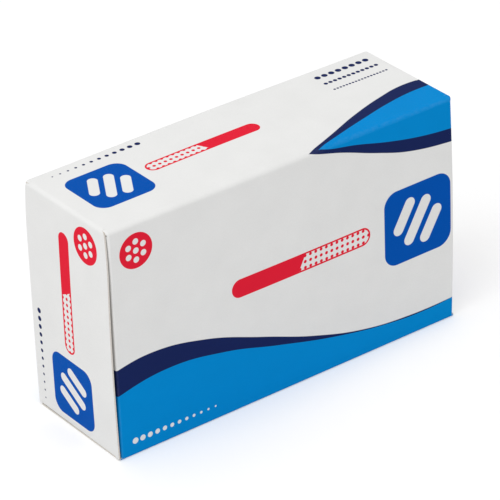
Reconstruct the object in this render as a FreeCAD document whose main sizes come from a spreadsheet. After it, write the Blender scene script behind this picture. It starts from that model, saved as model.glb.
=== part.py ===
import FreeCAD, Part
import math
import os
import re
import Sketcher

# A gross of emery boards in a straight-tuck paperboard carton, in millimetres.
# X runs along the carton, the front panel faces -Y, and the carton stands on Z = 0.
# Both end lids hang on the top panel and tuck in above the bottom panel.

DRIVING_SIZES = {
    # carton, over its outside faces
    "carton_length": "120",
    "carton_depth": "39.4",
    "carton_height": "72",
    "caliper": "0.5",
    "fold_radius": "0.8",
    # a crease that opens bulges inwards into a round bead
    "bead_radius": "0.6",
    "crease_gap": "0.03",
    # how far the pieces of a closed end stay apart
    "lid_gap": "0.15",
    "tuck_gap": "0.1",
    "edge_gap": "0.1",
    "dust_gap": "0.4",
    # end flaps
    "tuck_depth": "12",
    "tuck_corner": "6",
    "tuck_overfold": "4",
    "tuck_side_gap": "0.5",
    "dust_reach": "18",
    "dust_slope": "0.62",
    "dust_rise": "2",
    # seam
    "glue_height": "14",
    "glue_end_gap": "2",
    "glue_taper": "4",
    # one emery board, and how the boards lie
    "board_length": "114.3",
    "board_width": "12.4",
    "core_thickness": "1.0",
    "abrasive_thickness": "0.2",
    "board_pitch": "1.44",
    "board_side_gap": "0.15",
    "stack_bottom": "2.0",
}

# Formulas in the driving sizes and in each other.
DERIVED_SIZES = {
    "inner_radius": "fold_radius - caliper",
    "mitre": "cos(45)",
    # crease axes
    "lid_axis_x": "carton_length / 2 - bead_radius",
    "lid_axis_z": "carton_height - bead_radius",
    "tuck_axis_z": "caliper + tuck_gap + bead_radius",
    "dust_axis_x": "carton_length / 2 - caliper - lid_gap - bead_radius",
    "dust_axis_y": "carton_depth / 2 - bead_radius",
    # half lengths of the sleeve panels
    "top_half": "lid_axis_x - bead_radius - crease_gap",
    "wall_half": "dust_axis_x - bead_radius - crease_gap",
    "bottom_half": "carton_length / 2 - 2 * edge_gap",
    "glue_half": "wall_half - glue_end_gap",
    # lid, its heights measured from its own crease axis
    "lid_half_width": "carton_depth / 2 - edge_gap",
    "lid_crease_half": "dust_axis_y - bead_radius - crease_gap",
    "tuck_half_width": "dust_axis_y - bead_radius - tuck_side_gap",
    "lid_foot_z": "tuck_axis_z - bead_radius - lid_axis_z",
    "lid_notch_z": "tuck_axis_z + bead_radius + crease_gap - lid_axis_z",
    "lid_notch_half": "tuck_half_width + edge_gap",
    # dust flaps
    "dust_low_z": "tuck_axis_z + bead_radius + dust_gap",
    "dust_high_z": "lid_axis_z - bead_radius - dust_gap",
    # boards
    "board_radius": "board_width / 2",
    "board_straight": "board_length / 2 - board_radius",
    "stack_pitch": "(carton_depth - 3 * caliper - 2 * board_side_gap - board_width) / 2",
    "stack_middle_y": "-caliper / 2",
}

BOARDS_IN_DOZEN = 12
DOZENS_IN_STACK = 4
STACKS = {"front": -1, "middle": 0, "back": 1}

doc = FreeCAD.newDocument("emery_boards")
sheet = doc.addObject("Spreadsheet::Sheet", "Sizes")


def fill_sheet():
    for row, (name, value) in enumerate(DRIVING_SIZES.items(), start=1):
        sheet.set(f"A{row}", name)
        sheet.set(f"B{row}", value)
        sheet.setAlias(f"B{row}", name)
    doc.recompute()


def bound(formula):
    """The formula written out in cells of the sheet, for an object to follow."""

    def written_out(word):
        name = word[0]
        if name in DERIVED_SIZES:
            return f"({bound(DERIVED_SIZES[name])})"
        return f"Sizes.{name}" if name in DRIVING_SIZES else name

    return re.sub("[a-z_]+", written_out, formula)


def size(formula):
    """The value of the formula."""
    return float(sheet.evalExpression(bound(formula)))


def origin_feature(body, role):
    return next(feature for feature in body.Origin.OriginFeatures if feature.Role == role)


def new_body(label):
    body = doc.addObject("PartDesign::Body", label)
    body.Label = label
    return body


def new_sketch(body, plane, offset="0"):
    """An empty sketch on one of the body's own planes, moved along that plane's normal."""
    sketch = body.newObject("Sketcher::SketchObject", "Outline")
    sketch.AttachmentSupport = [(origin_feature(body, plane), "")]
    sketch.MapMode = "FlatFace"
    sketch.setExpression("AttachmentOffset.Base.z", bound(offset))
    return sketch


def bind(sketch, constraint, formula):
    index = sketch.addConstraint(constraint)
    sketch.setExpression(f"Constraints[{index}]", bound(formula))


def draw_outline(sketch, corners):
    """Draws a closed outline. A corner is (x, y), or (x, y, arc) where the side from it to the next
    corner is an arc of less than half a turn, given as (centre x, centre y, radius)."""
    points = [FreeCAD.Vector(size(corner[0]), size(corner[1]), 0) for corner in corners]
    sides = []
    for index, corner in enumerate(corners):
        start = points[index]
        finish = points[(index + 1) % len(points)]
        if len(corner) == 2:
            side = sketch.addGeometry(Part.LineSegment(start, finish), False)
            sides.append((side, 1, 2))
            continue
        centre = FreeCAD.Vector(size(corner[2][0]), size(corner[2][1]), 0)
        circle = Part.Circle(centre, FreeCAD.Vector(0, 0, 1), size(corner[2][2]))
        start_angle = math.atan2(start.y - centre.y, start.x - centre.x)
        finish_angle = math.atan2(finish.y - centre.y, finish.x - centre.x)
        if (finish_angle - start_angle) % (2 * math.pi) < math.pi:
            side = sketch.addGeometry(Part.ArcOfCircle(circle, start_angle, finish_angle), False)
            sides.append((side, 1, 2))
        else:
            side = sketch.addGeometry(Part.ArcOfCircle(circle, finish_angle, start_angle), False)
            sides.append((side, 2, 1))
    for index, (side, first, last) in enumerate(sides):
        following, its_first, _ = sides[(index + 1) % len(sides)]
        sketch.addConstraint(Sketcher.Constraint("Coincident", side, last, following, its_first))
        point = points[index]
        corner = corners[index]
        bind(sketch, Sketcher.Constraint("DistanceX", -1, 1, side, first, point.x), corner[0])
        bind(sketch, Sketcher.Constraint("DistanceY", -1, 1, side, first, point.y), corner[1])
        if len(corner) == 3:
            bind(sketch, Sketcher.Constraint("Radius", side, size(corner[2][2])), corner[2][2])


def draw_circle(sketch, radius):
    circle = Part.Circle(FreeCAD.Vector(0, 0, 0), FreeCAD.Vector(0, 0, 1), size(radius))
    side = sketch.addGeometry(circle, False)
    sketch.addConstraint(Sketcher.Constraint("Coincident", side, 3, -1, 1))
    bind(sketch, Sketcher.Constraint("Radius", side, size(radius)), radius)


def pad(body, sketch, length, both_ways=False):
    feature = body.newObject("PartDesign::Pad", "Pad")
    feature.Profile = sketch
    feature.Midplane = both_ways
    feature.setExpression("Length", bound(length))
    doc.recompute()
    return feature


def place(body, x="0", y="0", z="0", axis=(0, 0, 1), turn=0):
    rotation = FreeCAD.Rotation(FreeCAD.Vector(*axis), turn)
    body.Placement = FreeCAD.Placement(FreeCAD.Vector(size(x), size(y), size(z)), rotation)
    body.setExpression("Placement.Base.x", bound(x))
    body.setExpression("Placement.Base.y", bound(y))
    body.setExpression("Placement.Base.z", bound(z))


def half_fold(edge, side):
    """An edge of a panel that turns half way round a fold, on its right (1) or left (-1) side.
    The panel's outside is at y = 0 of the profile, and the next panel's outside is at x = edge."""
    sign = "" if side > 0 else "-"
    centre = f"{edge} - fold_radius"
    middle = f"{sign}({centre})"
    outside = (middle, "0")
    inside = (middle, "-caliper")
    outer_mitre = (f"{sign}({centre} + fold_radius * mitre)", "fold_radius * (mitre - 1)")
    inner_mitre = (f"{sign}({centre} + inner_radius * mitre)", "inner_radius * mitre - fold_radius")
    outer_arc = (middle, "-fold_radius", "fold_radius")
    inner_arc = (middle, "-fold_radius", "inner_radius")
    if side > 0:
        return [(*outside, outer_arc), outer_mitre, (*inner_mitre, inner_arc), inside]
    return [(*inside, inner_arc), inner_mitre, (*outer_mitre, outer_arc), outside]


def cut_edge(edge, side):
    """An edge of a panel that ends in a plain cut."""
    if side > 0:
        return [(edge, "0"), (edge, "-caliper")]
    return [(f"-({edge})", "-caliper"), (f"-({edge})", "0")]


def sleeve_panel(label, right_edge, left_edge, half_length):
    body = new_body(label)
    profile = new_sketch(body, "YZ_Plane")
    draw_outline(profile, right_edge + left_edge)
    pad(body, profile, f"2 * {half_length}", both_ways=True)
    return body


def top_panel():
    half = "carton_depth / 2"
    body = sleeve_panel("top_panel", half_fold(half, 1), half_fold(half, -1), "top_half")
    place(body, z="carton_height")
    return body


def front_panel():
    half = "carton_height / 2"
    body = sleeve_panel("front_panel", half_fold(half, 1), half_fold(half, -1), "wall_half")
    place(body, y="-carton_depth / 2", z="carton_height / 2", axis=(1, 0, 0), turn=90)
    return body


def back_panel():
    """The back panel folds from the top panel and ends at the bottom in a cut, over the glue flap."""
    foot = cut_edge("carton_height / 2 - edge_gap", 1)
    head = half_fold("carton_height / 2", -1)
    body = sleeve_panel("back_panel", foot, head, "wall_half")
    place(body, y="carton_depth / 2", z="carton_height / 2", axis=(1, 0, 0), turn=-90)
    return body


def bottom_panel():
    """The bottom panel reaches out past the walls at both ends, under the tuck flaps."""
    front_fold = half_fold("carton_depth / 2", 1)
    seam_fold = half_fold("carton_depth / 2 - caliper", -1)
    body = sleeve_panel("bottom_panel", front_fold, seam_fold, "wall_half")
    tongue = new_sketch(body, "XY_Plane", "-caliper")
    front = "carton_depth / 2 - fold_radius"
    seam = "caliper + fold_radius - carton_depth / 2"
    corners = [
        ("-bottom_half", seam),
        ("bottom_half", seam),
        ("bottom_half", front),
        ("-bottom_half", front),
    ]
    draw_outline(tongue, corners)
    pad(body, tongue, "caliper")
    place(body, axis=(1, 0, 0), turn=180)
    return body


def glue_flap():
    """The glue flap turns up from the bottom panel inside the back panel. Its ends are cut at a slant."""
    body = sleeve_panel("glue_flap", half_fold("0", 1), cut_edge("glue_height", -1), "glue_half")
    for sign in ("", "-"):
        slant = new_sketch(body, "XY_Plane")
        corners = [
            (f"{sign}glue_half", "-fold_radius"),
            (f"{sign}glue_half", "-glue_height"),
            (f"{sign}(glue_half - glue_taper)", "-glue_height"),
        ]
        draw_outline(slant, corners)
        pocket = body.newObject("PartDesign::Pocket", "Slant")
        pocket.Profile = slant
        pocket.setExpression("Length", bound("caliper"))
        doc.recompute()
    place(body, y="carton_depth / 2 - caliper", axis=(1, 0, 0), turn=-90)
    return body


def place_at_end(body, end, x, y="0", z="0"):
    """Puts a flap made for the left end at that end, or turned half way round at the right end."""
    if end == "left":
        place(body, f"-{x}", y, z)
    else:
        place(body, x, y, z, turn=180)


def lid(end):
    """A lid, from its crease with the top panel down to its crease with the tuck flap."""
    body = new_body(f"{end}_lid")
    plate = new_sketch(body, "YZ_Plane", "-bead_radius")
    corners = [
        ("lid_half_width", "0"),
        ("-lid_half_width", "0"),
        ("-lid_half_width", "lid_foot_z"),
        ("-lid_notch_half", "lid_foot_z"),
        ("-lid_notch_half", "lid_notch_z"),
        ("lid_notch_half", "lid_notch_z"),
        ("lid_notch_half", "lid_foot_z"),
        ("lid_half_width", "lid_foot_z"),
    ]
    draw_outline(plate, corners)
    pad(body, plate, "caliper")
    bead = new_sketch(body, "XZ_Plane")
    draw_circle(bead, "bead_radius")
    pad(body, bead, "2 * lid_crease_half", both_ways=True)
    place_at_end(body, end, "lid_axis_x", z="lid_axis_z")
    return body


def tuck_flap(end):
    """A tuck flap, folded a little past square so that its free edge lifts off the bottom panel."""
    body = new_body(f"{end}_tuck_flap")
    plate = new_sketch(body, "XY_Plane")
    plate.AttachmentOffset = FreeCAD.Placement(
        FreeCAD.Vector(0, 0, 0), FreeCAD.Rotation(FreeCAD.Vector(0, -1, 0), size("tuck_overfold"))
    )
    plate.setExpression("AttachmentOffset.Base.x", bound("bead_radius * sin(tuck_overfold)"))
    plate.setExpression("AttachmentOffset.Base.z", bound("-bead_radius * cos(tuck_overfold)"))
    plate.setExpression("AttachmentOffset.Rotation.Angle", bound("tuck_overfold"))
    straight = "tuck_depth - tuck_corner"
    inset = "(tuck_half_width - tuck_corner)"
    corners = [
        ("0", "-tuck_half_width"),
        (straight, "-tuck_half_width", (straight, f"-{inset}", "tuck_corner")),
        ("tuck_depth", f"-{inset}"),
        ("tuck_depth", inset, (straight, inset, "tuck_corner")),
        (straight, "tuck_half_width"),
        ("0", "tuck_half_width"),
    ]
    draw_outline(plate, corners)
    pad(body, plate, "caliper")
    bead = new_sketch(body, "XZ_Plane")
    draw_circle(bead, "bead_radius")
    pad(body, bead, "2 * tuck_half_width", both_ways=True)
    place_at_end(body, end, "lid_axis_x", z="tuck_axis_z")
    return body


def dust_flap(end, wall):
    """A dust flap. Its upper edge slopes so that it can swing out while the lid above it opens."""
    body = new_body(f"{end}_{wall}_dust_flap")
    reach = "dust_reach" if (end == "left") == (wall == "front") else "-dust_reach"
    plate = new_sketch(body, "YZ_Plane", "-bead_radius")
    corners = [
        ("0", "dust_low_z"),
        (reach, "dust_low_z + dust_rise"),
        (reach, "dust_high_z - dust_slope * dust_reach"),
        ("0", "dust_high_z"),
    ]
    draw_outline(plate, corners)
    pad(body, plate, "caliper")
    bead = new_sketch(body, "XY_Plane", "fold_radius")
    draw_circle(bead, "bead_radius")
    pad(body, bead, "carton_height - 2 * fold_radius")
    place_at_end(body, end, "dust_axis_x", y="-dust_axis_y" if wall == "front" else "dust_axis_y")
    return body


def board_layer(label, thickness, y, z):
    """One layer of a dozen boards: twelve slips with round ends, one above the other."""
    body = new_body(label)
    outline = new_sketch(body, "XY_Plane")
    right_end = ("board_straight", "0", "board_radius")
    left_end = ("-board_straight", "0", "board_radius")
    corners = [
        ("-board_straight", "-board_radius"),
        ("board_straight", "-board_radius", right_end),
        ("board_straight + board_radius", "0", right_end),
        ("board_straight", "board_radius"),
        ("-board_straight", "board_radius", left_end),
        ("-board_straight - board_radius", "0", left_end),
    ]
    draw_outline(outline, corners)
    slip = pad(body, outline, thickness)
    pile = body.newObject("PartDesign::LinearPattern", "Pile")
    pile.Originals = [slip]
    pile.Direction = (origin_feature(body, "Z_Axis"), [""])
    pile.Occurrences = BOARDS_IN_DOZEN
    pile.setExpression("Length", bound(f"{BOARDS_IN_DOZEN - 1} * board_pitch"))
    body.Tip = pile
    place(body, y=y, z=z)
    return body


def stack(name, column):
    """A stack of boards: four dozens, each with its fine side down and its coarse side up."""
    layers = {
        "fine": ("abrasive_thickness", "0"),
        "cores": ("core_thickness", "abrasive_thickness"),
        "coarse": ("abrasive_thickness", "abrasive_thickness + core_thickness"),
    }
    y = f"stack_middle_y + {column} * stack_pitch"
    bodies = []
    for dozen in range(DOZENS_IN_STACK):
        foot = f"stack_bottom + {dozen * BOARDS_IN_DOZEN} * board_pitch"
        for layer, (thickness, height) in layers.items():
            label = f"{name}_dozen_{dozen + 1}_{layer}"
            bodies.append(board_layer(label, thickness, y, f"{foot} + {height}"))
    return bodies


def write_step(body):
    if {"Invalid", "Error"} & set(body.State) or body.Shape.isNull() or not body.Shape.isValid():
        raise RuntimeError(f"{body.Label} is not a good shape: {body.State}")
    body.Shape.exportStep(f"parts/{body.Label}.step")


fill_sheet()
pieces = [front_panel(), top_panel(), back_panel(), bottom_panel(), glue_flap()]
for end in ("left", "right"):
    pieces += [lid(end), tuck_flap(end), dust_flap(end, "front"), dust_flap(end, "back")]
for name, column in STACKS.items():
    pieces += stack(name, column)
doc.recompute()

for thing in doc.Objects:
    if {"Invalid", "Error"} & set(thing.State):
        raise RuntimeError(f"{thing.Name} did not build: {thing.State}")
os.makedirs("parts", exist_ok=True)
for piece in pieces:
    write_step(piece)
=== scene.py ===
import math
import random
from collections import namedtuple

import bmesh
import bpy
import numpy as np
from mathutils import Matrix, Vector


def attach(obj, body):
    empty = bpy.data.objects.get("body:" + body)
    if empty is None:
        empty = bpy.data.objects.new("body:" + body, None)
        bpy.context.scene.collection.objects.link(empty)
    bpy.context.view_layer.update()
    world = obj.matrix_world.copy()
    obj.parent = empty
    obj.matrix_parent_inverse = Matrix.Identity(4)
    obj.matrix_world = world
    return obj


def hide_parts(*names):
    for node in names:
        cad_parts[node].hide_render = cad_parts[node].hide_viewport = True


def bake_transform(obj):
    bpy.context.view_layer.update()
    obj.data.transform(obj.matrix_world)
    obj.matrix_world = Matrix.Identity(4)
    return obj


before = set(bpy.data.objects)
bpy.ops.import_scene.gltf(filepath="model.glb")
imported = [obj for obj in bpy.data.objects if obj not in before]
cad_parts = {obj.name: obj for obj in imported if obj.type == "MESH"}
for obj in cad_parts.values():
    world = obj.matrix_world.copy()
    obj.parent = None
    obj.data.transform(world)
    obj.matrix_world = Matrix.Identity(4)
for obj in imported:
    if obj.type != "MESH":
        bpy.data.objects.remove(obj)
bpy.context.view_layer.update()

# One millimetre in metres
MM = 0.001

# Sizes of the carton in millimetres, as in the solids
LENGTH = 120.0
DEPTH = 39.4
HEIGHT = 72.0
CALIPER = 0.5
CREASE_RADIUS = 0.6
CREASE_GAP = 0.03
LID_GAP = 0.15
FOOT_GAP = 0.1
TOP_HALF = LENGTH / 2 - 2 * CREASE_RADIUS - CREASE_GAP
DUST_AXIS_X = LENGTH / 2 - CALIPER - LID_GAP - CREASE_RADIUS
WALL_HALF = DUST_AXIS_X - CREASE_RADIUS - CREASE_GAP
GLUE_END_GAP = 2.0
GLUE_HALF = WALL_HALF - GLUE_END_GAP
GLUE_TAPER = 4.0
GLUE_HEIGHT = 14.0
SEAM_Y = DEPTH / 2 - CALIPER
TUCK_AXIS_Z = CALIPER + FOOT_GAP + CREASE_RADIUS
NOTCH_Z = TUCK_AXIS_Z + CREASE_RADIUS + CREASE_GAP
TUCK_SIDE_GAP = 0.5
TUCK_HALF = DEPTH / 2 - 2 * CREASE_RADIUS - TUCK_SIDE_GAP
TUCK_DEPTH = 12.0
TUCK_CORNER = 6.0
TUCK_OVERFOLD = math.radians(4)
DUST_REACH = 18.0
DUST_GAP = 0.4
DUST_LOW = TUCK_AXIS_Z + CREASE_RADIUS + DUST_GAP
DUST_RISE = 2.0
DUST_SLOPE = 0.62

# What the solids leave out or only stand for: soft folds, slits at the ends of the lids' creases, bulging
# panels, and edges that close the gaps beside the folds
TOP_FOLD = 1.2
FOOT_FOLD = 0.6
FOOT_END = LENGTH / 2 - CREASE_RADIUS
FOOT_TURN = math.radians(30)
BOTTOM_HALF = LENGTH / 2
NOTCH_GAP = 0.04
NOTCH_HALF = TUCK_HALF + NOTCH_GAP
LID_FOOT = 0.52
TUCK_FOLD_Z = LID_FOOT + CREASE_RADIUS
DUST_TOP = 70.75
SLIT = 0.03
SLIT_LENGTH = 1.1
SLIT_TURN = math.radians(40)
SLIT_CLEAR = math.radians(2)
LID_CREASE_HALF = DEPTH / 2 - TOP_FOLD - SLIT_LENGTH - 2 * SLIT
SHOULDER = 1.5
TAPER_RUN = 16.0
LID_BEND_REACH = 0.775
FLAP_BEND_REACH = 0.563
WALL_BOW = 0.35
TOP_BOW = 0.2
FOLD_BOW = 0.3

# How each end is bent. side is 1 at the left and -1 at the right, which is the left turned round. Then come
# the radius of the lid's crease, half the lid's width and how that tapers to the crease, how far the lid
# stands off at its foot and bows, the share of that at its far edge, and how far the walls bulge
End = namedtuple("End", "name side bend lid_half taper stand_off bow far_share bulge")
LEFT = End("left", side=1, bend=1.2, lid_half=19.6, taper=1.1,
           stand_off=0.35, bow=0.6, far_share=0.15, bulge=0.0)
RIGHT = End("right", side=-1, bend=0.6, lid_half=18.3, taper=0.0,
            stand_off=0.0, bow=0.75, far_share=1.0, bulge=0.7)

# Colours, linear
PAPER_WHITE = (0.86, 0.86, 0.85)
AZURE = (0.0, 0.265, 0.68)
NAVY = (0.01, 0.02, 0.1)
ROYAL = (0.0, 0.088, 0.45)
RED = (0.82, 0.016, 0.042)

# The soft edge of a print in millimetres, how uneven the paper is, and how much its creases are rubbed
PRINT_EDGE = 0.12
MOTTLE = 0.015
CREASE_WEAR = 0.03

# A bend sharper than this shows as an edge
SHARP_ANGLE = math.radians(40)


class Path:
    """The line that the outside of a bent board follows. Its outside is on the right of its heading."""

    def __init__(self, x, y, heading, flat):
        self.heading = heading
        self.points = [(x, y)]
        self.normals = [self.outward()]
        self.flat = [flat]
        self.creases = [0.0]

    def outward(self):
        return (math.sin(self.heading), -math.cos(self.heading))

    def put(self, x, y, flat, crease):
        self.points.append((x, y))
        self.normals.append(self.outward())
        self.flat.append(flat)
        self.creases.append(crease)

    def ahead(self, length, steps):
        x, y = self.points[-1]
        start = self.flat[-1]
        for step in range(1, steps + 1):
            run = length * step / steps
            self.put(x + run * math.cos(self.heading), y + run * math.sin(self.heading), start + run, 0.0)

    def turn(self, radius, angle, steps):
        """Turns left. In the flat a square bend counts as long as the sharp corner that it rounds off."""
        x, y = self.points[-1]
        across, along = self.outward()
        centre_x = x - radius * across
        centre_y = y - radius * along
        start = self.flat[-1]
        first = self.heading
        length = 2 * radius * angle / (math.pi / 2)
        for step in range(1, steps + 1):
            share = step / steps
            self.heading = first + angle * share
            across, along = self.outward()
            crease = math.sin(math.pi * share)
            self.put(centre_x + radius * across, centre_y + radius * along, start + length * share, crease)


def sheet_piece(name, outside, inside, flat, coats, coat_of_row):
    """A bent board as one closed mesh. outside and inside are grids of points in millimetres, flat holds
    each point's place on the flat board and its crease wear. coats are the materials of the printed sides,
    and after them come the bare inside and the cut edge."""
    rows, columns = outside.shape[:2]
    count = rows * columns
    mesh = bpy.data.meshes.new(name)
    points = np.concatenate([outside.reshape(-1, 3), inside.reshape(-1, 3)]) * MM
    faces = []
    slots = []

    def at(row, column, side):
        return side * count + row * columns + column

    for row in range(rows - 1):
        for column in range(columns - 1):
            for side in (0, 1):
                quad = [at(row, column, side), at(row + 1, column, side),
                        at(row + 1, column + 1, side), at(row, column + 1, side)]
                faces.append(quad)
                slots.append(coat_of_row[row] if side == 0 else len(coats))
    rim = [(row, 0) for row in range(rows)]
    rim += [(rows - 1, column) for column in range(1, columns)]
    rim += [(row, columns - 1) for row in range(rows - 2, -1, -1)]
    rim += [(0, column) for column in range(columns - 2, 0, -1)]
    for here, there in zip(rim, rim[1:] + rim[:1]):
        faces.append([at(*here, 0), at(*there, 0), at(*there, 1), at(*here, 1)])
        slots.append(len(coats) + 1)
    mesh.from_pydata(points.tolist(), [], faces)
    mesh.polygons.foreach_set("material_index", slots)
    attribute = mesh.attributes.new("flat", "FLOAT_VECTOR", "POINT")
    attribute.data.foreach_set("vector", np.concatenate([flat.reshape(-1, 3)] * 2).ravel())
    for material in [*coats, inside_material, edge_material]:
        mesh.materials.append(material)
    return finished(name, mesh)


def finished(name, mesh):
    """Turns a closed mesh's faces outward, smooths its gentle bends and puts it in the scene."""
    shape = bmesh.new()
    shape.from_mesh(mesh)
    bmesh.ops.recalc_face_normals(shape, faces=shape.faces)
    shape.to_mesh(mesh)
    shape.free()
    mesh.shade_smooth()
    mesh.set_sharp_from_angle(angle=SHARP_ANGLE)
    piece = bpy.data.objects.new(name, mesh)
    bpy.context.scene.collection.objects.link(piece)
    return piece


class Value:
    """A number in a material's nodes."""

    def __init__(self, tree, socket):
        self.tree = tree
        self.socket = socket

    def math(self, operation, *others, clamp=False):
        node = self.tree.nodes.new("ShaderNodeMath")
        node.operation = operation
        node.use_clamp = clamp
        for socket, value in zip(node.inputs, (self, *others)):
            if isinstance(value, Value):
                self.tree.links.new(value.socket, socket)
            else:
                socket.default_value = value
        return Value(self.tree, node.outputs[0])

    def __add__(self, other):
        return self.math("ADD", other)

    def __sub__(self, other):
        return self.math("SUBTRACT", other)

    def __mul__(self, other):
        return self.math("MULTIPLY", other)

    def __truediv__(self, other):
        return self.math("DIVIDE", other)

    def inverted(self):
        return self * -1 + 1

    def size(self):
        return self.math("ABSOLUTE")

    def at_least(self, other):
        return self.math("MAXIMUM", other)

    def floor(self):
        return self.math("FLOOR")

    def clamped(self):
        """The number, kept from 0 to 1."""
        return self.math("ADD", 0, clamp=True)

    def distance(self, other):
        return (self * self + other * other).math("SQRT")

    def below(self, limit):
        """1 where the number is under the limit and 0 where it is over, with a print's soft edge."""
        if isinstance(limit, Value):
            return ((limit - self) / PRINT_EDGE).math("ADD", 0.5, clamp=True)
        return (self * (-1 / PRINT_EDGE)).math("ADD", limit / PRINT_EDGE + 0.5, clamp=True)

    def curve(self, points, width, height):
        """The height of a smooth line through the points, where this number is the way along."""
        node = self.tree.nodes.new("ShaderNodeFloatCurve")
        node.mapping.extend = "HORIZONTAL"
        lowest = min(0, *(up for across, up in points))
        places = [(across / width, (up - lowest) / height) for across, up in points]
        line = node.mapping.curves[0].points
        line[0].location = places[0]
        line[1].location = places[-1]
        for place in places[1:-1]:
            line.new(*place)
        node.mapping.update()
        self.tree.links.new((self / width).socket, node.inputs["Value"])
        return Value(self.tree, node.outputs["Value"]) * height + lowest


def disc(u, v, x, y, radius):
    return (u - x).distance(v - y).below(radius)


def capsule(u, v, x, y, half_length, radius, angle=0.0):
    """A slip with round ends, turned by the angle."""
    cosine, sine = math.cos(angle), math.sin(angle)
    along = (u - x) * cosine + (v - y) * sine
    across = (v - y) * cosine - (u - x) * sine
    past_end = (along.size() - (half_length - radius)).at_least(0)
    return past_end.distance(across).below(radius)


def rounded_square(u, v, x, y, half, radius):
    past_u = ((u - x).size() - (half - radius)).at_least(0)
    past_v = ((v - y).size() - (half - radius)).at_least(0)
    return past_u.distance(past_v).below(radius)


def dot_row(along, across, start, middle, pitch, count, radii):
    """A row of dots that grow finer, as grit does, from the first radius to the last."""
    first_radius, last_radius = radii
    cell = ((along - start) / pitch).floor()
    place = along - start - cell * pitch - pitch / 2
    radius = cell * ((last_radius - first_radius) / (count - 1)) + first_radius
    half_row = count * pitch / 2
    inside = (along - (start + half_row)).size().below(half_row)
    return place.distance(across - middle).below(radius) * inside


def grit_disc(u, v, x, y, radius):
    """A disc with seven dots left out of it, one in the middle and six round it."""
    dot_radius = radius * 0.17
    ring_radius = radius * 0.52
    ring_count = 6
    dots = disc(u, v, x, y, dot_radius)
    for step in range(ring_count):
        angle = 2 * math.pi * (step + 0.5) / ring_count
        dot_x = x + ring_radius * math.cos(angle)
        dot_y = y + ring_radius * math.sin(angle)
        dots = dots.at_least(disc(u, v, dot_x, dot_y, dot_radius))
    return disc(u, v, x, y, radius) * dots.inverted()


def badge(u, v, x, y, half, angle):
    """A rounded square with three slips left out of it, side by side and turned by the angle."""
    slip_pitch = half * 0.46
    slip_radius = half * 0.15
    long_slip = half * 0.66
    short_slip = half * 0.5
    corner_radius = half * 0.38
    slips = capsule(u, v, x, y, long_slip, slip_radius, angle)
    for side in (-1, 1):
        slip_x = x - side * slip_pitch * math.sin(angle)
        slip_y = y + side * slip_pitch * math.cos(angle)
        slips = slips.at_least(capsule(u, v, slip_x, slip_y, short_slip, slip_radius, angle))
    return rounded_square(u, v, x, y, half, corner_radius) * slips.inverted()


def two_grit_board(u, v, x, y, half_length, radius, upright=False):
    """A board drawn flat: one half filled, the other an outline with dots in it."""
    rim = 0.55
    slant = 0.5
    dot_pitch = 1.9
    dot_radius = 0.52
    along, across = (v, u) if upright else (u, v)
    centre, middle = (y, x) if upright else (x, y)
    outline = capsule(along, across, centre, middle, half_length, radius)
    hollow = capsule(along, across, centre, middle, half_length - rim, radius - rim)
    aside = across - middle
    dotted_half = (along - centre + aside * slant).below(0).inverted()
    dot_along = along - ((along / dot_pitch).floor() + 0.5) * dot_pitch
    dot_across = aside - (aside / dot_pitch + 0.5).floor() * dot_pitch
    dots = dot_along.distance(dot_across).below(dot_radius)
    return outline * (hollow * dotted_half * dots.inverted()).inverted()


# Edges of the two-tone bands, as points across and down their panel in millimetres
WAVE_NAVY = [(0, 43.3), (13, 41.8), (30, 44.5), (50, 51.5), (68, 58.3), (86, 63.3), (103, 65.3), (120, 65.3)]
WAVE_AZURE = [(0, 51.6), (18, 48.9), (37, 51.3), (55, 56.3), (75, 61.5), (95, 65.0), (108, 65.9), (120, 65.3)]
LEAF_NAVY = [(62, -2.9), (69, 0.3), (80, 3.7), (92, 8.1), (104, 11.8), (120, 14.1)]
LEAF_AZURE = [(62, -5.4), (73, 0.2), (85, 3.0), (97, 6.2), (109, 8.6), (120, 9.8)]
TOP_LEAF_NAVY = [(62, 42.2), (69, 39.2), (80, 34.9), (92, 30.0), (104, 26.2), (113, 24.4), (120, 24.8)]
TOP_LEAF_AZURE = [(62, 44.5), (71, 39.7), (82, 36.2), (93, 33.2), (103, 30.7), (112, 29.3), (120, 29.2)]
BOTTOM_AZURE = [(0, 9.0), (25, 6.2), (60, 9.5), (95, 13.0), (120, 11.5)]

# Where the leaf starts, how far it runs over the crease of the right lid, how far the bands run round the
# ends of the walls, how wide the navy is on the bottom, and the span that holds the curves of the top
LEAF_START = 64
LEAF_OVERRUN = 2.4
BLEED = 3
BOTTOM_NAVY_WIDTH = 2.2
TOP_SPAN = 50


def within_bleed(u):
    """1 on a panel and a little past its ends, and 0 beyond."""
    return (u - LENGTH / 2).size().below(LENGTH / 2 + BLEED)


def front_print(u, v):
    """The front and the back: a wave along the foot, a leaf in the upper right corner, and small marks."""
    in_leaf = u.below(LEAF_START).inverted()
    inks = []
    for ink, wave_edge, leaf_edge in ((NAVY, WAVE_NAVY, LEAF_NAVY), (AZURE, WAVE_AZURE, LEAF_AZURE)):
        wave = v.below(u.curve(wave_edge, LENGTH, HEIGHT)).inverted()
        leaf = v.below(u.curve(leaf_edge, LENGTH, HEIGHT)) * in_leaf
        inks.append((ink, wave.at_least(leaf) * within_bleed(u)))
    return [
        *inks,
        (RED, grit_disc(u, v, x=9.2, y=8.5, radius=5.4)),
        (RED, two_grit_board(u, v, x=64.5, y=33, half_length=24.5, radius=2.9)),
        (ROYAL, badge(u, v, x=106.2, y=34.8, half=12.0, angle=math.radians(-60))),
        (PAPER_WHITE, dot_row(u, v, start=4.2, middle=67.5, pitch=2.5, count=12, radii=(0.95, 0.3))),
    ]


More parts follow.
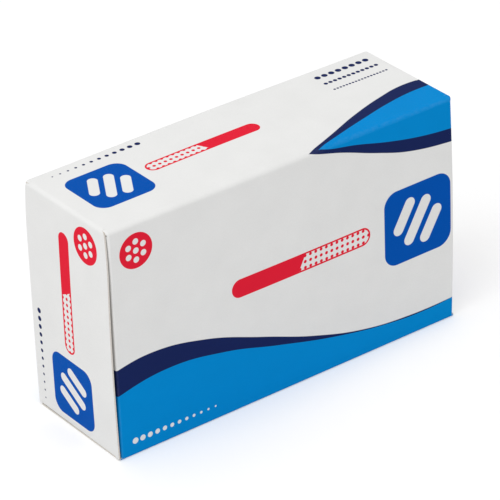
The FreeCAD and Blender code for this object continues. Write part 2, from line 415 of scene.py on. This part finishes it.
def top_print(u, v):
    """The top: the leaf along the front edge, and small marks."""
    in_leaf = u.below(LEAF_START).inverted()
    inks = []
    for ink, edge in ((NAVY, TOP_LEAF_NAVY), (AZURE, TOP_LEAF_AZURE)):
        leaf = v.below(u.curve(edge, LENGTH, TOP_SPAN)).inverted()
        inks.append((ink, leaf * in_leaf))
    from_right = u * -1 + LENGTH
    inks += [
        (ROYAL, badge(u, v, x=16.2, y=18.4, half=9.9, angle=math.radians(120))),
        (RED, two_grit_board(from_right, v, x=71.7, y=17.5, half_length=19.3, radius=2.4)),
        (NAVY, dot_row(from_right, v, start=83, middle=3.9, pitch=2.6, count=12, radii=(0.85, 0.25))),
    ]
    first_row, row_pitch, row_length = 5.2, 4.4, 20
    for row, (count, radius) in enumerate(((8, 0.95), (12, 0.65), (18, 0.4))):
        line = dot_row(u, v, start=97, middle=first_row + row_pitch * row, pitch=row_length / count,
                       count=count, radii=(radius, radius))
        inks.append((NAVY, line))
    return inks


def lid_print(u, v):
    """A lid, with its marks standing on end."""
    return [
        (RED, grit_disc(u, v, x=29.2, y=8.1, radius=5.5)),
        (RED, two_grit_board(u, v, x=18.5, y=27.8, half_length=19.2, radius=2.4, upright=True)),
        (ROYAL, badge(u, v, x=18.5, y=59.2, half=9.8, angle=math.radians(30))),
        (NAVY, dot_row(v, u, start=38.5, middle=3.6, pitch=2.6, count=12, radii=(0.85, 0.25))),
    ]


def right_lid_print(u, v):
    """The right lid, where the leaf of the top runs over the crease."""
    inks = []
    for ink, edge in ((NAVY, TOP_LEAF_NAVY), (AZURE, TOP_LEAF_AZURE)):
        leaf_width = DEPTH - edge[-1][1]
        inks.append((ink, v.below(LEAF_OVERRUN) * u.below(leaf_width)))
    return inks + lid_print(u, v)


def bottom_print(u, v):
    """The bottom, where the wave of the front runs out."""
    azure_edge = u.curve(BOTTOM_AZURE, LENGTH, DEPTH)
    navy = v.below(azure_edge + BOTTOM_NAVY_WIDTH) * within_bleed(u)
    azure = v.below(azure_edge) * within_bleed(u)
    return [(NAVY, navy), (AZURE, azure)]


def new_material(name, roughness, gloss=0.2):
    material = bpy.data.materials.new(name)
    material.use_nodes = True
    shader = material.node_tree.nodes["Principled BSDF"]
    shader.inputs["Roughness"].default_value = roughness
    shader.inputs["Specular IOR Level"].default_value = gloss
    return material, material.node_tree, shader


def noise(tree, place, scale, detail=3.0, roughness=0.5):
    node = tree.nodes.new("ShaderNodeTexNoise")
    node.inputs["Scale"].default_value = scale
    node.inputs["Detail"].default_value = detail
    node.inputs["Roughness"].default_value = roughness
    tree.links.new(place, node.inputs["Vector"])
    return Value(tree, node.outputs["Fac"])


def spread(value, low, high):
    """A noise, most of which lies in the middle of its range, spread from low to high."""
    noise_low, noise_high = 0.3, 0.7
    return (value - noise_low) * ((high - low) / (noise_high - noise_low)) + low


def feed(tree, colour, socket):
    """Sets a socket to a colour, or links it to another socket."""
    if isinstance(colour, tuple):
        socket.default_value = (*colour, 1)
    else:
        tree.links.new(colour, socket)


def mixed(tree, share, under, over):
    """One colour over another. Each is a colour or a socket."""
    node = tree.nodes.new("ShaderNodeMix")
    node.data_type = "RGBA"
    factor, first_colour, second_colour = node.inputs[0], node.inputs[6], node.inputs[7]
    tree.links.new(share.socket, factor)
    feed(tree, under, first_colour)
    feed(tree, over, second_colour)
    return node.outputs[2]


def shaded(tree, colour, share):
    """A colour made lighter or darker. It is a colour or a socket."""
    node = tree.nodes.new("ShaderNodeHueSaturation")
    feed(tree, colour, node.inputs["Color"])
    tree.links.new(share.socket, node.inputs["Value"])
    return node.outputs[0]


def bumped(tree, shader, height, distance, strength):
    node = tree.nodes.new("ShaderNodeBump")
    node.inputs["Distance"].default_value = distance
    node.inputs["Strength"].default_value = strength
    tree.links.new(height.socket, node.inputs["Height"])
    tree.links.new(node.outputs["Normal"], shader.inputs["Normal"])


def flat_place(tree):
    """The place on the flat board in millimetres: across, down and the crease wear."""
    attribute = tree.nodes.new("ShaderNodeAttribute")
    attribute.attribute_name = "flat"
    split = tree.nodes.new("ShaderNodeSeparateXYZ")
    tree.links.new(attribute.outputs["Vector"], split.inputs[0])
    return [attribute.outputs["Vector"]] + [Value(tree, socket) for socket in split.outputs]


def coated_paper(name, draw, u_of, v_of):
    """Clay-coated board with a print on it.
    u_of and v_of turn a place on the flat board into one on its panel."""
    material, tree, shader = new_material(name, roughness=0.5, gloss=0.02)
    place, across, down, crease = flat_place(tree)
    cloud = noise(tree, place, scale=0.09, detail=2.0)
    fibre = noise(tree, place, scale=1.9, detail=4.0, roughness=0.6)
    colour = shaded(tree, PAPER_WHITE, spread(fibre, 1 - MOTTLE, 1 + MOTTLE))
    for ink, mask in draw(u_of(across), v_of(down)):
        colour = mixed(tree, mask, colour, ink)
    rubbed = noise(tree, place, scale=0.8, detail=4.0, roughness=0.7)
    worn = (crease * spread(rubbed, 0.0, 1.0) * CREASE_WEAR).clamped()
    colour = mixed(tree, worn, colour, PAPER_WHITE)
    colour = shaded(tree, colour, spread(cloud, 1 - MOTTLE, 1 + MOTTLE))
    tree.links.new(colour, shader.inputs["Base Color"])
    tree.links.new(spread(fibre, 0.44, 0.56).socket, shader.inputs["Roughness"])
    bumped(tree, shader, fibre + cloud * 2, distance=0.00004, strength=0.25)
    return material


def bare_board(name, light, dark, fleck):
    """The uncoated inside or the cut edge of the board."""
    fleck_level, fleck_edge, fleck_strength = 0.66, 9, 0.6
    material, tree, shader = new_material(name, roughness=0.85)
    place = flat_place(tree)[0]
    fibre = noise(tree, place, scale=1.4, detail=5.0, roughness=0.65)
    flecks = noise(tree, place, scale=3.1, detail=2.0)
    colour = mixed(tree, spread(fibre, 0.0, 1.0).clamped(), dark, light)
    share = ((flecks - fleck_level) * fleck_edge).clamped()
    colour = mixed(tree, share * fleck_strength, colour, fleck)
    tree.links.new(colour, shader.inputs["Base Color"])
    tree.links.new(spread(fibre, 0.78, 0.92).socket, shader.inputs["Roughness"])
    bumped(tree, shader, fibre, distance=0.00006, strength=0.4)
    return material


def grit(name, light, dark, binder, per_mm, height):
    """An abrasive sheet: grains of two tones in a coloured binder."""
    binder_share = 1.3
    low_roughness, high_roughness = 0.45, 0.8
    material, tree, shader = new_material(name, roughness=0.75)
    place = tree.nodes.new("ShaderNodeNewGeometry").outputs["Position"]
    grains = tree.nodes.new("ShaderNodeTexVoronoi")
    grains.inputs["Scale"].default_value = per_mm / MM
    tree.links.new(place, grains.inputs["Vector"])
    split = tree.nodes.new("ShaderNodeSeparateColor")
    tree.links.new(grains.outputs["Color"], split.inputs[0])
    tone = Value(tree, split.outputs[0])
    distance = Value(tree, grains.outputs["Distance"])
    colour = mixed(tree, tone, dark, light)
    colour = mixed(tree, (distance * binder_share).clamped(), colour, binder)
    tree.links.new(colour, shader.inputs["Base Color"])
    roughness = tone * (high_roughness - low_roughness) + low_roughness
    tree.links.new(roughness.socket, shader.inputs["Roughness"])
    bumped(tree, shader, distance.inverted(), distance=height, strength=0.8)
    return material


def chipboard(name, light, dark):
    """The die-cut edge of a board's core, with the layers of its pulp."""
    per_metre_along, per_metre_through = 900, 6000
    material, tree, shader = new_material(name, roughness=0.9)
    place = tree.nodes.new("ShaderNodeNewGeometry").outputs["Position"]
    stretch = tree.nodes.new("ShaderNodeVectorMath")
    stretch.operation = "MULTIPLY"
    stretch.inputs[1].default_value = (per_metre_along, per_metre_along, per_metre_through)
    tree.links.new(place, stretch.inputs[0])
    layers = noise(tree, stretch.outputs[0], scale=1.0, detail=4.0, roughness=0.65)
    colour = mixed(tree, spread(layers, 0.0, 1.0).clamped(), dark, light)
    tree.links.new(colour, shader.inputs["Base Color"])
    tree.links.new(spread(layers, 0.85, 0.95).socket, shader.inputs["Roughness"])
    bumped(tree, shader, layers, distance=0.00006, strength=0.5)
    return material


front_material = coated_paper("front_print", front_print, lambda u: u, lambda s: s - DEPTH)
back_material = coated_paper("back_print", front_print, lambda u: u * -1 + LENGTH, lambda s: s * -1)
top_material = coated_paper("top_print", top_print, lambda u: u, lambda s: s)
bottom_material = coated_paper("bottom_print", bottom_print, lambda u: u, lambda s: s - (DEPTH + HEIGHT))
lid_material = coated_paper("lid_print", lid_print, lambda u: u, lambda s: s)
right_lid_material = coated_paper("right_lid_print", right_lid_print, lambda u: u, lambda s: s)
inside_material = bare_board("bare_inside", light=(0.60, 0.57, 0.52), dark=(0.46, 0.43, 0.38),
                             fleck=(0.22, 0.20, 0.18))
edge_material = bare_board("cut_edge", light=(0.80, 0.76, 0.71), dark=(0.70, 0.66, 0.60),
                           fleck=(0.50, 0.46, 0.40))
coarse_material = grit("coarse_grit", light=(0.10, 0.075, 0.065), dark=(0.02, 0.017, 0.016),
                       binder=(0.05, 0.03, 0.025), per_mm=5.0, height=0.00012)
fine_material = grit("fine_grit", light=(0.62, 0.36, 0.20), dark=(0.36, 0.19, 0.10),
                     binder=(0.52, 0.28, 0.15), per_mm=9.0, height=0.00005)
core_material = chipboard("chipboard_edge", light=(0.58, 0.47, 0.34), dark=(0.34, 0.26, 0.18))


def between(low, high, share):
    return low + (high - low) * share


def arch(z):
    """How far a bow has come at this height: nothing at foot and top, all of it halfway."""
    return np.sin(np.pi * np.clip(z / HEIGHT, 0, 1))


def cut(half_length):
    """The ends of a sleeve row that ends in a plain cut."""
    return [(half_length, 0.0, 0.0)] * 2


def top_corner(share):
    """The ends of a row of the top's fold, from the bend of the lids (0) round to that of the dust flaps (1).
    An end is where its rounding starts, its radius and how far it turns."""
    return [(between(LENGTH / 2 - end.bend, DUST_AXIS_X, share), between(end.bend, CREASE_RADIUS, share),
             between(SLIT_TURN, math.pi / 2, share)) for end in (LEFT, RIGHT)]


def end_columns(start, radius, turn):
    """How far out the last points of a sleeve row are, how far they droop, and their places in the flat."""
    column_count = 7
    shares = np.linspace(0, 1, column_count)
    if radius == 0:
        out = start - CREASE_RADIUS * (1 - shares)
        return out, np.zeros_like(out), out
    angles = turn * shares
    return start + radius * np.sin(angles), radius * (1 - np.cos(angles)), start + radius * angles


def sleeve():
    """The tube of back, top, front and bottom panels, with the glue flap inside the back panel."""
    path = Path(DEPTH / 2, FOOT_GAP, math.pi / 2, FOOT_GAP - HEIGHT)
    wall_ends, top_ends, bottom_ends = cut(WALL_HALF), cut(TOP_HALF), cut(BOTTOM_HALF)
    foot_ends = [(FOOT_END, CREASE_RADIUS, FOOT_TURN)] * 2
    wall_steps, top_steps, bottom_steps, fold_steps, glue_steps = 16, 12, 8, 12, 5
    top_corners = [top_corner(step / fold_steps) for step in range(fold_steps + 1)]
    back, top, front, bottom = range(4)
    ends_of_row = [wall_ends]
    bows = [0.0]
    panels = []

    def straight(panel, length, steps, ends, bow=0.0, last_bow=0.0):
        first_bow = bows[-1]
        path.ahead(length, steps)
        for step in range(1, steps + 1):
            share = step / steps
            panels.append(panel)
            ends_of_row.append(ends)
            bows.append(between(first_bow, last_bow, share) + bow * (1 - (2 * share - 1) ** 2))

    def fold(panel, next_panel, radius, corners):
        path.turn(radius, math.pi / 2, len(corners))
        for step, ends in enumerate(corners):
            panels.append(panel if step < len(corners) // 2 else next_panel)
            ends_of_row.append(ends)
            bows.append(bows[-1])

    straight(back, HEIGHT - TOP_FOLD - FOOT_GAP - SLIT, wall_steps, wall_ends,
             bow=WALL_BOW, last_bow=FOLD_BOW)
    straight(back, SLIT, 1, top_corners[-1], last_bow=FOLD_BOW)
    fold(back, top, TOP_FOLD, top_corners[-2::-1])
    straight(top, SLIT_LENGTH, 2, top_corners[0], last_bow=FOLD_BOW)
    straight(top, SLIT, 1, top_ends, last_bow=FOLD_BOW)
    straight(top, DEPTH - 2 * (TOP_FOLD + SLIT_LENGTH + SLIT), top_steps, top_ends,
             bow=TOP_BOW, last_bow=FOLD_BOW)
    straight(top, SLIT, 1, top_corners[0], last_bow=FOLD_BOW)
    straight(top, SLIT_LENGTH, 2, top_corners[0], last_bow=FOLD_BOW)
    fold(top, front, TOP_FOLD, top_corners[1:])
    straight(front, SLIT, 1, wall_ends, last_bow=FOLD_BOW)
    straight(front, HEIGHT - TOP_FOLD - FOOT_FOLD - 2 * SLIT, wall_steps, wall_ends, bow=WALL_BOW)
    straight(front, SLIT, 1, foot_ends)
    fold(front, bottom, FOOT_FOLD, [foot_ends] * fold_steps)
    straight(bottom, SLIT, 1, bottom_ends)
    straight(bottom, SEAM_Y + DEPTH / 2 - 2 * FOOT_FOLD - 2 * SLIT, bottom_steps, bottom_ends)
    straight(bottom, SLIT, 1, wall_ends)
    fold(bottom, bottom, FOOT_FOLD, [wall_ends] * 4 + [cut(GLUE_HALF)] * 4)
    for step in range(1, glue_steps + 1):
        straight(bottom, (GLUE_HEIGHT - FOOT_FOLD) / glue_steps, 1,
                 cut(GLUE_HALF - GLUE_TAPER * step / glue_steps))

    middle_count = 41
    outside, inside, flat = [], [], []
    for (y, z), (out_y, out_z), s, crease, ends, bow in zip(
            path.points, path.normals, path.flat, path.creases, ends_of_row, bows):
        left, right = (end_columns(*end) for end in ends)
        middle = np.linspace(-left[0][0], right[0][0], middle_count)[1:-1]
        x = np.concatenate([-left[0][::-1], middle, right[0]])
        droop = np.concatenate([left[1][::-1], 0 * middle, right[1]])
        across = np.concatenate([-left[2][::-1], middle, right[2]]) + LENGTH / 2
        height = bow * np.clip(1 - (x / WALL_HALF) ** 2, 0, 1) ** 2 - droop
        x = x + RIGHT.bulge * arch(z) * np.clip(x / WALL_HALF, 0, 1) ** 4
        depth = height - CALIPER
        outside.append(np.stack([x, y + out_y * height, z + out_z * height], axis=1))
        inside.append(np.stack([x, y + out_y * depth, z + out_z * depth], axis=1))
        flat.append(np.stack([across, np.full_like(x, s), np.full_like(x, crease)], axis=1))
    coats = [back_material, top_material, front_material, bottom_material]
    piece = sheet_piece("carton_sleeve", np.array(outside), np.array(inside), np.array(flat), coats, panels)
    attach(piece, "sleeve")
    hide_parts("front_panel", "top_panel", "back_panel", "bottom_panel", "glue_flap")


def bend(piece, start, reach):
    """Bakes the piece's place into its mesh; the piece is not bent.
    reach is the way from the last fixed point to the first moving one. It is not used."""
    finish = [place + step for place, step in zip(start, reach)]
    tuple(c * MM for c in start)
    tuple(c * MM for c in finish)
    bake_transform(piece)


def lean(end, y):
    """How much of a lid's standing off there is at this place across it."""
    return between(1, end.far_share, (y / end.lid_half + 1) / 2)


def lid_half_width(end, run):
    """Half the width of a lid, this far below the slits at the ends of its crease."""
    share = min(max(run / SHOULDER, 0), 1)
    left = min(max(1 - run / TAPER_RUN, 0), 1)
    return between(LID_CREASE_HALF, end.lid_half - end.taper * left ** 2, math.sqrt(1 - (1 - share) ** 2))


def lid(end):
    """A lid with its crease. The right lid is the left one turned round."""
    path = Path(-TOP_HALF, HEIGHT, math.pi, TOP_HALF - LENGTH / 2)
    path.ahead(LENGTH / 2 - end.bend - TOP_HALF, steps=1)
    path.turn(end.bend, SLIT_TURN + SLIT_CLEAR, steps=5)
    slit_flat = path.flat[-1]
    path.turn(end.bend, math.pi / 2 - SLIT_TURN - SLIT_CLEAR, steps=8)
    plate_top = HEIGHT - end.bend
    shoulder_drops = [0.1, 0.25, 0.45, 0.7, 1.0, SHOULDER]
    drops = np.concatenate([shoulder_drops, np.linspace(2 * SHOULDER, plate_top - NOTCH_Z, 28)])
    middle = np.linspace(-NOTCH_HALF, NOTCH_HALF, 25)
    ears = np.array([NOTCH_HALF + 2 * SLIT, end.lid_half])
    y = np.concatenate([-ears[::-1], middle, ears])
    foot = np.where(np.abs(y) > NOTCH_HALF, LID_FOOT, NOTCH_Z)
    outside, inside, flat = [], [], []

    def add_row(x, z, out_x, out_z, down, crease):
        row_y = y * lid_half_width(end, down[len(y) // 2] - slit_flat) / end.lid_half
        outside.append(np.stack([x, row_y, z], axis=1))
        inside.append(np.stack([x - out_x * CALIPER, row_y, z - out_z * CALIPER], axis=1))
        flat.append(np.stack([DEPTH / 2 - row_y, down, np.full_like(y, crease)], axis=1))

    same = np.ones_like(y)
    for (x, z), (out_x, out_z), down, crease in zip(path.points, path.normals, path.flat, path.creases):
        add_row(x * same, z * same, out_x, out_z, down * same, crease)
    bend_rows = len(path.points)
    for drop in drops:
        share = drop / drops[-1]
        z = between(plate_top, foot, share)
        out = end.stand_off * share + end.bow * arch(z)
        add_row(-LENGTH / 2 - out * lean(end, y), z, -1, 0, HEIGHT - z, 0.0)
    turn = np.array([end.side, end.side, 1.0])
    coat = lid_material if end is LEFT else right_lid_material
    piece = sheet_piece(f"{end.name}_lid_board", np.array(outside) * turn, np.array(inside) * turn,
                        np.array(flat), [coat], [0] * (bend_rows + len(drops) - 1))
    bend(piece, (-end.side * TOP_HALF, 0, HEIGHT - CALIPER),
         (-end.side * LID_BEND_REACH, 0, -LID_BEND_REACH))
    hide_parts(f"{end.name}_lid")


def tuck_flap(end):
    """A tuck flap with its crease at the foot of the lid. Its free corners are round."""
    path = Path(-LENGTH / 2, NOTCH_Z, -math.pi / 2, HEIGHT - NOTCH_Z)
    path.ahead(NOTCH_Z - TUCK_FOLD_Z, steps=2)
    path.turn(CREASE_RADIUS, math.pi / 2 + TUCK_OVERFOLD, steps=10)
    path.ahead(TUCK_DEPTH - TUCK_CORNER, steps=3)
    half_widths = [TUCK_HALF] * len(path.points)
    corner_steps = 8
    turns = [math.pi / 2 * step / corner_steps for step in range(corner_steps + 1)]
    for before, after in zip(turns, turns[1:]):
        path.ahead(TUCK_CORNER * (math.sin(after) - math.sin(before)), steps=1)
        half_widths.append(TUCK_HALF - TUCK_CORNER * (1 - math.cos(after)))
    across = np.linspace(-1, 1, 21)
    same = np.ones_like(across)
    outside, inside, flat = [], [], []
    for (x, z), (out_x, out_z), down, crease, half in zip(
            path.points, path.normals, path.flat, path.creases, half_widths):
        y = across * half
        face = x - end.stand_off * lean(end, y)
        outside.append(np.stack([face, y, z * same], axis=1))
        inside.append(np.stack([face - out_x * CALIPER, y, (z - out_z * CALIPER) * same], axis=1))
        flat.append(np.stack([DEPTH / 2 - y, down * same, crease * same], axis=1))
    turn = np.array([end.side, end.side, 1.0])
    piece = sheet_piece(f"{end.name}_tuck_board", np.array(outside) * turn, np.array(inside) * turn,
                        np.array(flat), [lid_material], [0] * (len(path.points) - 1))
    bend(piece, (end.side * (CALIPER - LENGTH / 2), 0, NOTCH_Z),
         (end.side * FLAP_BEND_REACH, 0, -FLAP_BEND_REACH))
    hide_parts(f"{end.name}_tuck_flap")


def dust_flap(end, wall_name, wall):
    """A dust flap with its crease at the end of a wall. wall is 1 at the back and -1 at the front."""
    path = Path(-WALL_HALF, DEPTH / 2, math.pi, 0.0)
    path.ahead(DUST_AXIS_X - WALL_HALF, steps=2)
    path.turn(CREASE_RADIUS, math.pi / 2, steps=10)
    bend_rows = len(path.points)
    path.ahead(2 * SLIT, steps=1)
    path.ahead(DUST_REACH - 2 * SLIT, steps=10)
    up = np.linspace(0, 1, 25)
    same = np.ones_like(up)
    outside, inside, flat = [], [], []
    for row, ((x, y), (out_x, out_y), run, crease) in enumerate(
            zip(path.points, path.normals, path.flat, path.creases)):
        reach = DEPTH / 2 - CREASE_RADIUS - y
        low, high = FOOT_FOLD, HEIGHT - TOP_FOLD
        if row >= bend_rows:
            low = DUST_LOW + DUST_RISE * reach / DUST_REACH
            high = DUST_TOP - DUST_SLOPE * reach
        z = between(low, high, up)
        bulged = x - end.bulge * arch(z)
        outside.append(np.stack([bulged, y * same, z], axis=1))
        inside.append(np.stack([bulged - out_x * CALIPER, (y - out_y * CALIPER) * same, z], axis=1))
        across = LENGTH / 2 - end.side * (WALL_HALF + run)
        down = z - HEIGHT if wall > 0 else DEPTH + HEIGHT - z
        flat.append(np.stack([across * same, down, crease * same], axis=1))
    turn = np.array([end.side, wall, 1.0])
    coat = back_material if wall > 0 else front_material
    piece = sheet_piece(f"{end.name}_{wall_name}_dust_board", np.array(outside) * turn,
                        np.array(inside) * turn, np.array(flat), [coat], [0] * (len(path.points) - 1))
    bend(piece,
         (-end.side * WALL_HALF, wall * (DEPTH / 2 - CALIPER), HEIGHT / 2),
         (-end.side * FLAP_BEND_REACH, -wall * FLAP_BEND_REACH, 0))
    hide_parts(f"{end.name}_{wall_name}_dust_flap")


# Sizes of the boards and their stacks in millimetres, and how far a hand leaves a board off its place, along
# and across in millimetres and askew in radians
DOZEN = 12
DOZENS_IN_STACK = 4
BOARD_LENGTH = 114.3
BOARD_WIDTH = 12.4
BOARD_PITCH = 1.44
CORE_THICKNESS = 1.0
GRIT_THICKNESS = 0.2
BOARD_LAYERS = (0.0, GRIT_THICKNESS, GRIT_THICKNESS + CORE_THICKNESS, CORE_THICKNESS + 2 * GRIT_THICKNESS)
BOARD_SIDE_GAP = 0.15
STACK_PITCH = (DEPTH - 3 * CALIPER - 2 * BOARD_SIDE_GAP - BOARD_WIDTH) / 2
STACK_MIDDLE = -CALIPER / 2
STACK_FOOT = 2.0
BOARD_SLIDE = 0.22
BOARD_ASIDE = 0.05
BOARD_SKEW = 0.0006


def board_outline():
    """The round-ended outline of one board, about its middle."""
    radius = BOARD_WIDTH / 2
    straight = BOARD_LENGTH / 2 - radius
    steps = 14
    turns = [-math.pi / 2 + math.pi * step / steps for step in range(steps + 1)]
    right = [(straight + radius * math.cos(turn), radius * math.sin(turn)) for turn in turns]
    left = [(-x, -y) for x, y in right]
    return np.array(right + left)


def dozen(name, stack, column, number, dice):
    """Twelve boards, fine side down, laid on each other as a hand leaves them."""
    outline = board_outline()
    count = len(outline)
    layer_count = len(BOARD_LAYERS) - 1
    points, faces, slots = [], [], []
    for board in range(DOZEN):
        slide = dice.uniform(-BOARD_SLIDE, BOARD_SLIDE)
        aside = dice.uniform(-BOARD_ASIDE, BOARD_ASIDE)
        angle = dice.uniform(-BOARD_SKEW, BOARD_SKEW)
        spin = np.array([[math.cos(angle), math.sin(angle)], [-math.sin(angle), math.cos(angle)]])
        ring = outline @ spin + np.array([slide, STACK_MIDDLE + column * STACK_PITCH + aside])
        foot = STACK_FOOT + BOARD_PITCH * (DOZEN * (number - 1) + board)
        first = len(points)
        for layer in BOARD_LAYERS:
            points += [(x * MM, y * MM, (foot + layer) * MM) for x, y in ring]
        faces.append([first + index for index in reversed(range(count))])
        slots.append(0)
        for layer in range(layer_count):
            low = first + layer * count
            for index in range(count):
                after = (index + 1) % count
                faces.append([low + index, low + after, low + count + after, low + count + index])
                slots.append(layer)
        faces.append([first + layer_count * count + index for index in range(count)])
        slots.append(layer_count - 1)
    mesh = bpy.data.meshes.new(name)
    mesh.from_pydata(points, [], faces)
    mesh.polygons.foreach_set("material_index", slots)
    for material in (fine_material, core_material, coarse_material):
        mesh.materials.append(material)
    piece = finished(name, mesh)
    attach(piece, f"{stack}_stack")
    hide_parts(*(f"{stack}_dozen_{number}_{layer}" for layer in ("fine", "cores", "coarse")))


sleeve()
for end in (LEFT, RIGHT):
    lid(end)
    tuck_flap(end)
    dust_flap(end, "front", -1)
    dust_flap(end, "back", 1)
dice = random.Random(7)
for stack, column in (("front", -1), ("middle", 0), ("back", 1)):
    for number in range(1, DOZENS_IN_STACK + 1):
        dozen(f"{stack}_dozen_{number}_boards", stack, column, number, dice)


# The floor's half width and level in metres, its grey, its glow to the camera, and the light of the room
FLOOR_HALF = 4.0
FLOOR_LEVEL = -0.05 * MM
FLOOR_GREY = 0.8
FLOOR_GLOW = 0.3
ROOM_LIGHT = 0.75


def seen_rays(tree):
    """1 for the rays that end in the picture, straight, mirrored or through glass, and 0 for the rest."""
    ray = tree.nodes.new("ShaderNodeLightPath")
    seen = Value(tree, ray.outputs["Is Camera Ray"])
    for kind in ("Is Glossy Ray", "Is Transmission Ray"):
        seen = seen.at_least(Value(tree, ray.outputs[kind]))
    return seen


def floor():
    """A pale floor, a hair below the carton, that shows white to the camera and keeps the carton's shadow."""
    mesh = bpy.data.meshes.new("floor")
    signs = ((-1, -1), (1, -1), (1, 1), (-1, 1))
    corners = [(FLOOR_HALF * x, FLOOR_HALF * y, FLOOR_LEVEL) for x, y in signs]
    mesh.from_pydata(corners, [], [range(len(corners))])
    material, tree, shader = new_material("floor", roughness=0.9)
    shader.inputs["Base Color"].default_value = (FLOOR_GREY, FLOOR_GREY, FLOOR_GREY, 1)
    shader.inputs["Emission Color"].default_value = (1, 1, 1, 1)
    tree.links.new((seen_rays(tree) * FLOOR_GLOW).socket, shader.inputs["Emission Strength"])
    mesh.materials.append(material)
    plane = bpy.data.objects.new("floor", mesh)
    bpy.context.scene.collection.objects.link(plane)


def area_light(name, place, aim, width, power):
    lamp = bpy.data.lights.new(name, "AREA")
    lamp.shape = "DISK"
    lamp.size = width
    lamp.energy = power
    holder = bpy.data.objects.new(name, lamp)
    holder.location = place
    holder.rotation_euler = (Vector(aim) - Vector(place)).to_track_quat("-Z", "Y").to_euler()
    bpy.context.scene.collection.objects.link(holder)


def studio():
    """A room of even light that shows white to the camera, and one large soft lamp."""
    world = bpy.data.worlds.new("studio")
    world.use_nodes = True
    tree = world.node_tree
    background = tree.nodes["Background"]
    background.inputs["Color"].default_value = (1, 1, 1, 1)
    strength = seen_rays(tree) * (1 - ROOM_LIGHT) + ROOM_LIGHT
    tree.links.new(strength.socket, background.inputs["Strength"])
    bpy.context.scene.world = world
    area_light("key", place=(-0.72, -0.21, 1.12), aim=(0, 0, HEIGHT / 2 * MM), width=0.9, power=4.9)
    bpy.context.scene.view_settings.view_transform = "Standard"


def camera():
    """The camera that took the photograph, found from the outline of the carton."""
    turn = math.radians(-36.08)
    rise = math.radians(29.84)
    roll = math.radians(-2.3)
    distance = 995.0 * MM
    aside = -1.1 * MM
    focal_pixels = 3518.5
    picture_pixels = 500
    back = Vector((math.sin(turn) * math.cos(rise), -math.cos(turn) * math.cos(rise), math.sin(rise)))
    level = Vector((math.cos(turn), math.sin(turn), 0))
    upright = back.cross(level)
    right = math.cos(roll) * level + math.sin(roll) * upright
    above = math.cos(roll) * upright - math.sin(roll) * level
    place = Vector((0, 0, HEIGHT / 2 * MM)) + distance * back - aside * right
    lens = bpy.data.cameras.new("camera")
    lens.sensor_width = 36
    lens.lens = focal_pixels / picture_pixels * lens.sensor_width
    lens.clip_start = 0.05
    holder = bpy.data.objects.new("camera", lens)
    axes = Matrix((right, above, back)).transposed().to_4x4()
    holder.matrix_world = Matrix.Translation(place) @ axes
    bpy.context.scene.collection.objects.link(holder)
    bpy.context.scene.camera = holder


floor()
studio()
camera()
